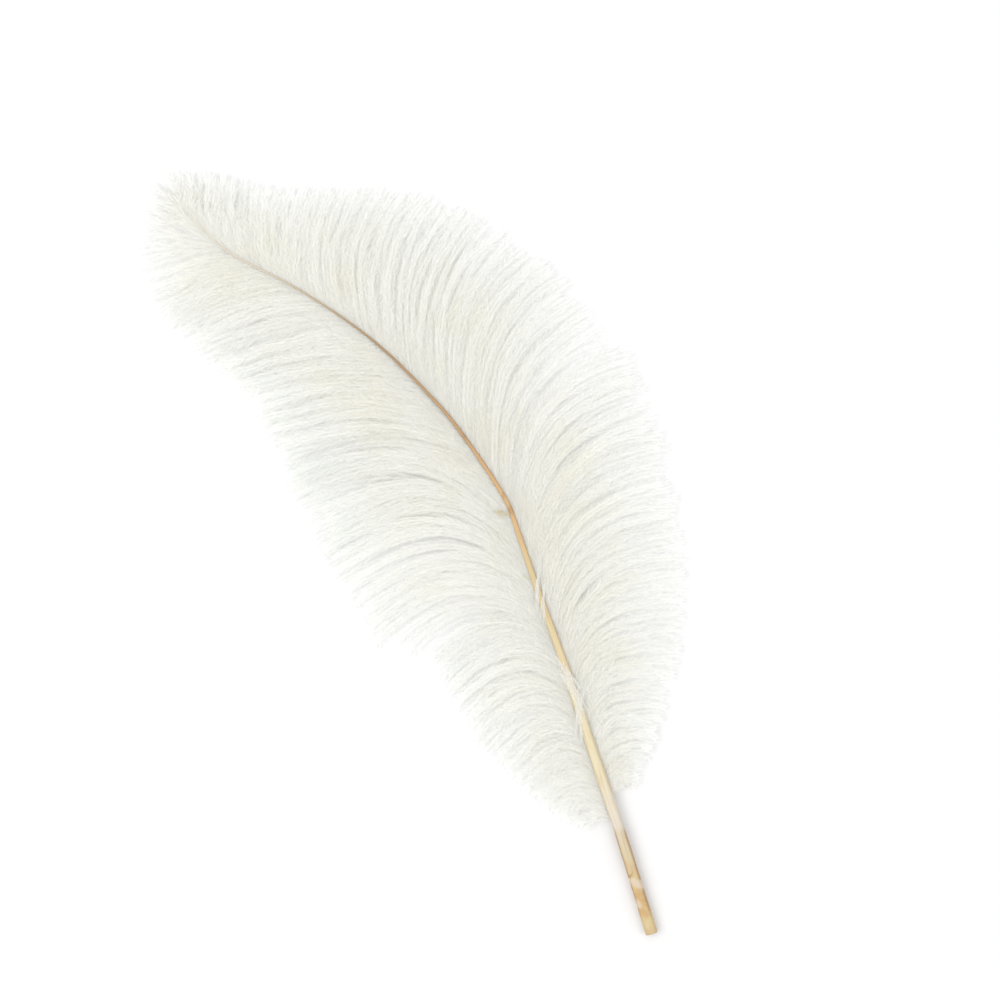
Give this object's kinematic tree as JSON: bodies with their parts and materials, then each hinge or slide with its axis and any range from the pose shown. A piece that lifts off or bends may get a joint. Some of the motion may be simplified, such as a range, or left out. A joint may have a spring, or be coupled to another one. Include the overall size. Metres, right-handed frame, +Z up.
{
  "type": "ostrich feather",
  "caption": "Ivory ostrich plume lying flat: a bowed, tapering horn shaft cut square at the butt, with a wide soft vane of downy barbs down each side.",
  "frame": {"origin": "centre of the feather's box, on the surface it lies on", "axes": "+Y from the cut butt towards the tip, +Z up, +X to the side the shaft bows towards"},
  "size_m": [0.112, 0.2788, 0.0066],
  "materials": {
    "horn": "satin keratin, cream and amber, browner where the shaft thins",
    "down": "soft ivory barbs and barbules"
  },
  "bodies": {
    "root": {"shaft": "horn", "left_vane": "down", "right_vane": "down"}
  },
  "joints": []
}
